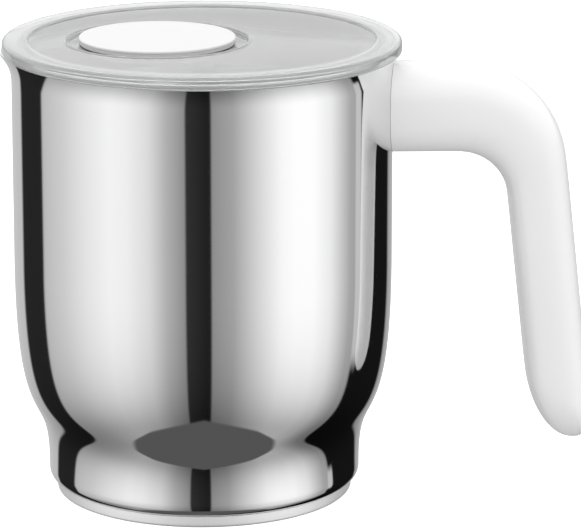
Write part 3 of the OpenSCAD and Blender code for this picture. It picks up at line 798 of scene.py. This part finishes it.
carrier = {
    "inside": 12.6,
    "outside": 14.4,
    "low": 8.7,
    "high": 13.1,
    "spokes": 6,
    "spokeWidth": 1.4,
    "spokeHeight": 1.4,
    "hoop": 20.0,
    "hoopHeight": 10.9,
    "wire": 0.8,
    "eye": 1.6,
    "overlap": 0.6,         # how far a spoke reaches into the ring
    "spokeBevel": 0.3,
    "eyeBevel": 0.25,
}
carrierMoulding = spinPiece("carrierMoulding", roundOff([
    (carrier["inside"], carrier["low"], 0.3),
    (carrier["outside"], carrier["low"], 0.5),
    (carrier["outside"], carrier["high"], 0.5),
    (carrier["inside"], carrier["high"], 0.3),
], steps=4), steps=144)
for i in range(carrier["spokes"]):
    angle = 2 * math.pi * (i + 0.5) / carrier["spokes"]
    first, last = carrier["outside"] - carrier["overlap"], carrier["hoop"]
    clearSelection()
    middle = (first + last) / 2
    bpy.ops.mesh.primitive_cube_add(
        size=1, rotation=(0, 0, angle),
        location=(middle * math.cos(angle) * mm, middle * math.sin(angle) * mm, carrier["hoopHeight"] * mm),
        scale=((last - first) * mm, carrier["spokeWidth"] * mm, carrier["spokeHeight"] * mm))
    spoke = bpy.context.object
    bpy.ops.object.transform_apply(location=True, rotation=True, scale=True)
    applyModifier(spoke, "BEVEL", width=carrier["spokeBevel"] * mm, segments=2)
    cutWith(carrierMoulding, spoke, operation="UNION")
    clearSelection()
    bpy.ops.mesh.primitive_cylinder_add(
        vertices=32, radius=carrier["eye"] * mm, depth=carrier["spokeWidth"] * mm,
        location=(last * math.cos(angle) * mm, last * math.sin(angle) * mm, carrier["hoopHeight"] * mm),
        rotation=(math.pi / 2, 0, angle))
    eye = bpy.context.object
    bpy.ops.object.transform_apply(location=True, rotation=True, scale=True)
    applyModifier(eye, "BEVEL", width=carrier["eyeBevel"] * mm, segments=2)
    cutWith(carrierMoulding, eye, operation="UNION")
hoopRound = turned((carrier["hoop"], carrier["hoopHeight"]), carrier["wire"], 0, 337.5, 15)
cutWith(carrierMoulding, spinPiece("hoopTool", hoopRound, steps=144))
hand(carrierMoulding, "coil", finish["dark"], "dark_plastic", "coil_carrier")

hoopWire = spinPiece("hoopWire", turned((carrier["hoop"], carrier["hoopHeight"]), carrier["wire"], 0, 345, 23),
                     steps=160, smoothAngle=60)
hand(hoopWire, "coil", finish["wire"], "screw_steel", "coil_hoop")

froth = {"turns": 30, "radius": 3.25, "wire": 0.45, "pointsPerTurn": 20}


def windCoil():
    # a spring wound round the hoop, closed on itself
    clearSelection()
    bpy.ops.mesh.primitive_circle_add(vertices=froth["turns"] * froth["pointsPerTurn"],
                                      radius=carrier["hoop"] * mm, location=(0, 0, carrier["hoopHeight"] * mm))
    piece = bpy.context.object
    piece.name = piece.data.name = "frothCoil"
    bpy.ops.object.transform_apply(location=True)
    for vertex in piece.data.vertices:
        angle = math.atan2(vertex.co.y, vertex.co.x)
        turn = angle * froth["turns"] + math.pi
        out = carrier["hoop"] + froth["radius"] * math.cos(turn)
        vertex.co = Vector((out * math.cos(angle), out * math.sin(angle),
                            carrier["hoopHeight"] + froth["radius"] * math.sin(turn))) * mm
    bpy.ops.object.convert(target="CURVE")
    piece.data.bevel_depth = froth["wire"] * mm
    piece.data.bevel_resolution = 3
    bpy.ops.object.convert(target="MESH")
    bpy.ops.object.shade_smooth_by_angle(angle=math.radians(60))
    return bpy.context.object


frothCoil = windCoil()
hand(frothCoil, "coil", finish["wire"], "spring_steel", "froth_coil")

# CAD nodes that stay as they are

kept = {
    "heat_spreader": "aluminium",
    "whisk_spindle": "polished",
    "handle_bracket": "aluminium",
    "handle_screws": "wire",
    "handle_seal": "rubber",
    "pivot_sleeve": "wire",
    "hub_bush": "ivory",
    "drive_magnets": "nickel",
    "magnet_cover": "dark",
}
for name, look in kept.items():
    node = bpy.data.objects[name]
    node.data.materials.clear()
    node.data.materials.append(finish[look])
print("kept nodes finished")

# the room

room = {
    "strength": 1.28,       # makes up for what the steel swallows
    # degrees round from the camera's side towards the handle, and how bright the room is there
    "around": [
        (-180, "#bbbbbb"), (-143, "#bababa"), (-140, "#242424"), (-114, "#232323"), (-112, "#bababa"),
        (-93, "#cdcdcd"), (-74, "#e6e6e6"), (-58, "#f4f4f4"), (-47, "#f0f0f0"), (-33, "#dcdcdc"),
        (-22, "#b1b1b1"), (-11, "#8e8e8e"), (-10, "#303030"), (3, "#1f1f1f"), (4.6, "#262626"),
        (5.6, "#8f8f8f"), (18, "#a3a3a3"), (33, "#d5d5d5"), (48, "#f8f8f8"), (57, "#ffffff"),
        (70, "#ffffff"), (83, "#ececec"), (93, "#c5c5c5"), (100, "#a7a7a7"), (105, "#a2a2a2"),
        (106.5, "#141414"), (150, "#141414"), (154, "#969696"), (180, "#bbbbbb"),
    ],
    # heights are those of a direction: -1 is straight down, 0 level, 1 straight up
    "dimFrom": -0.2,        # the pattern dims between these heights, down to a share
    "dimTo": -0.8,
    "dimShare": 0.37,
    "slit": "#c0c0c0",      # a pale slit behind the handle, in degrees round
    "slitOpens": (104, 106),
    "slitCloses": (112, 110),
    "slitEnds": (-0.4, -0.34),
    "patch": "#525252",     # the dark corner of the table in front
    "patchHalf": 0.575,     # half its width, for a height of one
    "patchHeight": 0.665,   # it starts this far down, and further to the sides
    "patchSlope": 0.15,
    "patchBlur": 0.015,
    "ceiling": 0.95,
    "ceilingFrom": 0.03,
    "ceilingTo": 0.2,
    "softLow": 0.95,        # the light that falls on matt surfaces, from below to above
    "softHigh": 1.3,
    "softFrom": -0.2,
    "throughLid": 0.25,     # share of the pattern that is left once light has passed the clear lid
    "floor": 6.0,           # metres
    "floorPaint": "#c4c4c4",
    "floorGlow": 0.9,
}


def makeRoom():
    world = bpy.data.worlds.new("studioRoom")
    bpy.context.scene.world = world
    world.use_nodes = True
    background = world.node_tree.nodes["Background"]
    smooth = {"interpolation_type": "SMOOTHSTEP"}
    spot = addNode(world, "ShaderNodeTexCoord")
    apart = addNode(world, "ShaderNodeSeparateXYZ", links=[(spot, "Generated", "Vector")])
    # the panels stand round the jug, so the pattern changes with the angle only
    towards = addNode(world, "ShaderNodeMath", {"operation": "MULTIPLY"}, {1: -1.0}, [(apart, "Y", 0)])
    angle = addNode(world, "ShaderNodeMath", {"operation": "ARCTAN2"}, links=[(apart, "X", 0), (towards, 0, 1)])
    turn = addNode(world, "ShaderNodeMapRange", values={"From Min": -math.pi, "From Max": math.pi},
                   links=[(angle, 0, "Value")])
    around = addNode(world, "ShaderNodeValToRGB", links=[(turn, "Result", "Fac")])
    stops = around.color_ramp.elements
    stops[0].position, stops[0].color = 0.0, linear(room["around"][0][1])
    stops[1].position, stops[1].color = 1.0, linear(room["around"][-1][1])
    for degrees, colour in room["around"][1:-1]:
        stops.new(degrees / 360 + 0.5).color = linear(colour)
    # a pale slit parts the dark panel behind the handle
    slitOpens, slitCloses = [
        addNode(world, "ShaderNodeMapRange", smooth,
                {"From Min": math.radians(edge[0]), "From Max": math.radians(edge[1])}, [(angle, 0, "Value")])
        for edge in (room["slitOpens"], room["slitCloses"])]
    slitEnds = addNode(world, "ShaderNodeMapRange", smooth,
                       {"From Min": room["slitEnds"][0], "From Max": room["slitEnds"][1]}, [(apart, "Z", "Value")])
    slitSides = addNode(world, "ShaderNodeMath", {"operation": "MULTIPLY"},
                        links=[(slitOpens, "Result", 0), (slitCloses, "Result", 1)])
    isSlit = addNode(world, "ShaderNodeMath", {"operation": "MULTIPLY"},
                     links=[(slitSides, 0, 0), (slitEnds, "Result", 1)])
    parted = addNode(world, "ShaderNodeMix", {"data_type": "RGBA"}, {"B": linear(room["slit"])},
                     [(isSlit, 0, "Factor"), (around, "Color", "A")])
    # towards the floor the pattern dims, and then gives way to the dark patch
    dim = addNode(world, "ShaderNodeMapRange", smooth,
                  {"From Min": room["dimTo"], "From Max": room["dimFrom"], "To Min": room["dimShare"],
                   "To Max": 1.0}, [(apart, "Z", "Value")])
    dimmed = addNode(world, "ShaderNodeVectorMath", {"operation": "SCALE"},
                     links=[(parted, "Result", 0), (dim, "Result", "Scale")])
    aside = addNode(world, "ShaderNodeMath", {"operation": "ABSOLUTE"}, links=[(apart, "X", 0)])
    pastSide = addNode(world, "ShaderNodeMath", {"operation": "MULTIPLY_ADD"}, {1: room["patchHalf"]},
                       [(apart, "Z", 0), (aside, 0, 2)])
    sideways = addNode(world, "ShaderNodeMath", {"operation": "ABSOLUTE"}, links=[(angle, 0, 0)])
    sinking = addNode(world, "ShaderNodeMath", {"operation": "MULTIPLY_ADD"},
                      {1: room["patchSlope"], 2: room["patchHeight"]}, [(sideways, 0, 0)])
    pastTop = addNode(world, "ShaderNodeMath", {"operation": "ADD"}, links=[(apart, "Z", 0), (sinking, 0, 1)])
    withinSide, withinTop = [
        addNode(world, "ShaderNodeMapRange", smooth,
                {"From Min": room["patchBlur"], "From Max": -room["patchBlur"]}, [(past, 0, "Value")])
        for past in (pastSide, pastTop)]
    isPatch = addNode(world, "ShaderNodeMath", {"operation": "MULTIPLY"},
                      links=[(withinSide, "Result", 0), (withinTop, "Result", 1)])
    lower = addNode(world, "ShaderNodeMix", {"data_type": "RGBA"}, {"B": linear(room["patch"])},
                    [(isPatch, 0, "Factor"), (dimmed, 0, "A")])
    # above is one wide, even ceiling light
    isAbove = addNode(world, "ShaderNodeMapRange", smooth,
                      {"From Min": room["ceilingFrom"], "From Max": room["ceilingTo"]}, [(apart, "Z", "Value")])
    mirrored = addNode(world, "ShaderNodeMix", {"data_type": "RGBA"}, {"B": (*[room["ceiling"]] * 3, 1)},
                       [(isAbove, "Result", "Factor"), (lower, "Result", "A")])
    brighter = addNode(world, "ShaderNodeVectorMath", {"operation": "SCALE"}, {"Scale": room["strength"]},
                       [(mirrored, "Result", 0)])
    soft = addNode(world, "ShaderNodeMapRange", values={
        "From Min": room["softFrom"], "From Max": 1.0, "To Min": room["softLow"], "To Max": room["softHigh"]},
                   links=[(apart, "Z", "Value")])
    # mirrors see the pattern, matt surfaces the soft light, and the backdrop is white
    ray = addNode(world, "ShaderNodeLightPath")
    mirrorRay = addNode(world, "ShaderNodeMath",
                        links=[(ray, "Is Transmission Ray", 0), (ray, "Is Glossy Ray", 1)])
    share = addNode(world, "ShaderNodeMapRange", values={"To Min": 1.0, "To Max": room["throughLid"]},
                    links=[(ray, "Transmission Depth", "Value")])
    sharp = addNode(world, "ShaderNodeMath", {"operation": "MULTIPLY"},
                    links=[(mirrorRay, 0, 0), (share, 0, 1)])
    seen = addNode(world, "ShaderNodeMix", {"data_type": "RGBA"},
                   links=[(sharp, 0, "Factor"), (soft, "Result", "A"), (brighter, 0, "B")])
    final = addNode(world, "ShaderNodeMix", {"data_type": "RGBA"}, {"B": (1, 1, 1, 1)},
                    [(ray, "Is Camera Ray", "Factor"), (seen, "Result", "A")])
    world.node_tree.links.new(final.outputs["Result"], background.inputs["Color"])


def makeFloor():
    clearSelection()
    bpy.ops.mesh.primitive_plane_add(size=room["floor"], location=(0, 0, 0))
    floor = bpy.context.object
    floor.name = "studioFloor"
    floor.visible_glossy = False
    paper, shader = newMaterial("paperSweepWhite")   # matt paper, lit up where the camera sees it
    setShader(shader, colour=linear(room["floorPaint"]), roughness=0.9)
    glow = addNode(paper, "ShaderNodeEmission", values={"Color": (1, 1, 1, 1), "Strength": room["floorGlow"]})
    ray = addNode(paper, "ShaderNodeLightPath")
    lit = addNode(paper, "ShaderNodeAddShader", links=[(shader, "BSDF", 0), (glow, "Emission", 1)])
    both = addNode(paper, "ShaderNodeMixShader",
                   links=[(ray, "Is Camera Ray", "Fac"), (shader, "BSDF", 1), (lit, 0, 2)])
    paper.node_tree.links.new(both.outputs["Shader"], paper.node_tree.nodes["Material Output"].inputs["Surface"])
    floor.data.materials.append(paper)


makeRoom()
makeFloor()
print("room made")
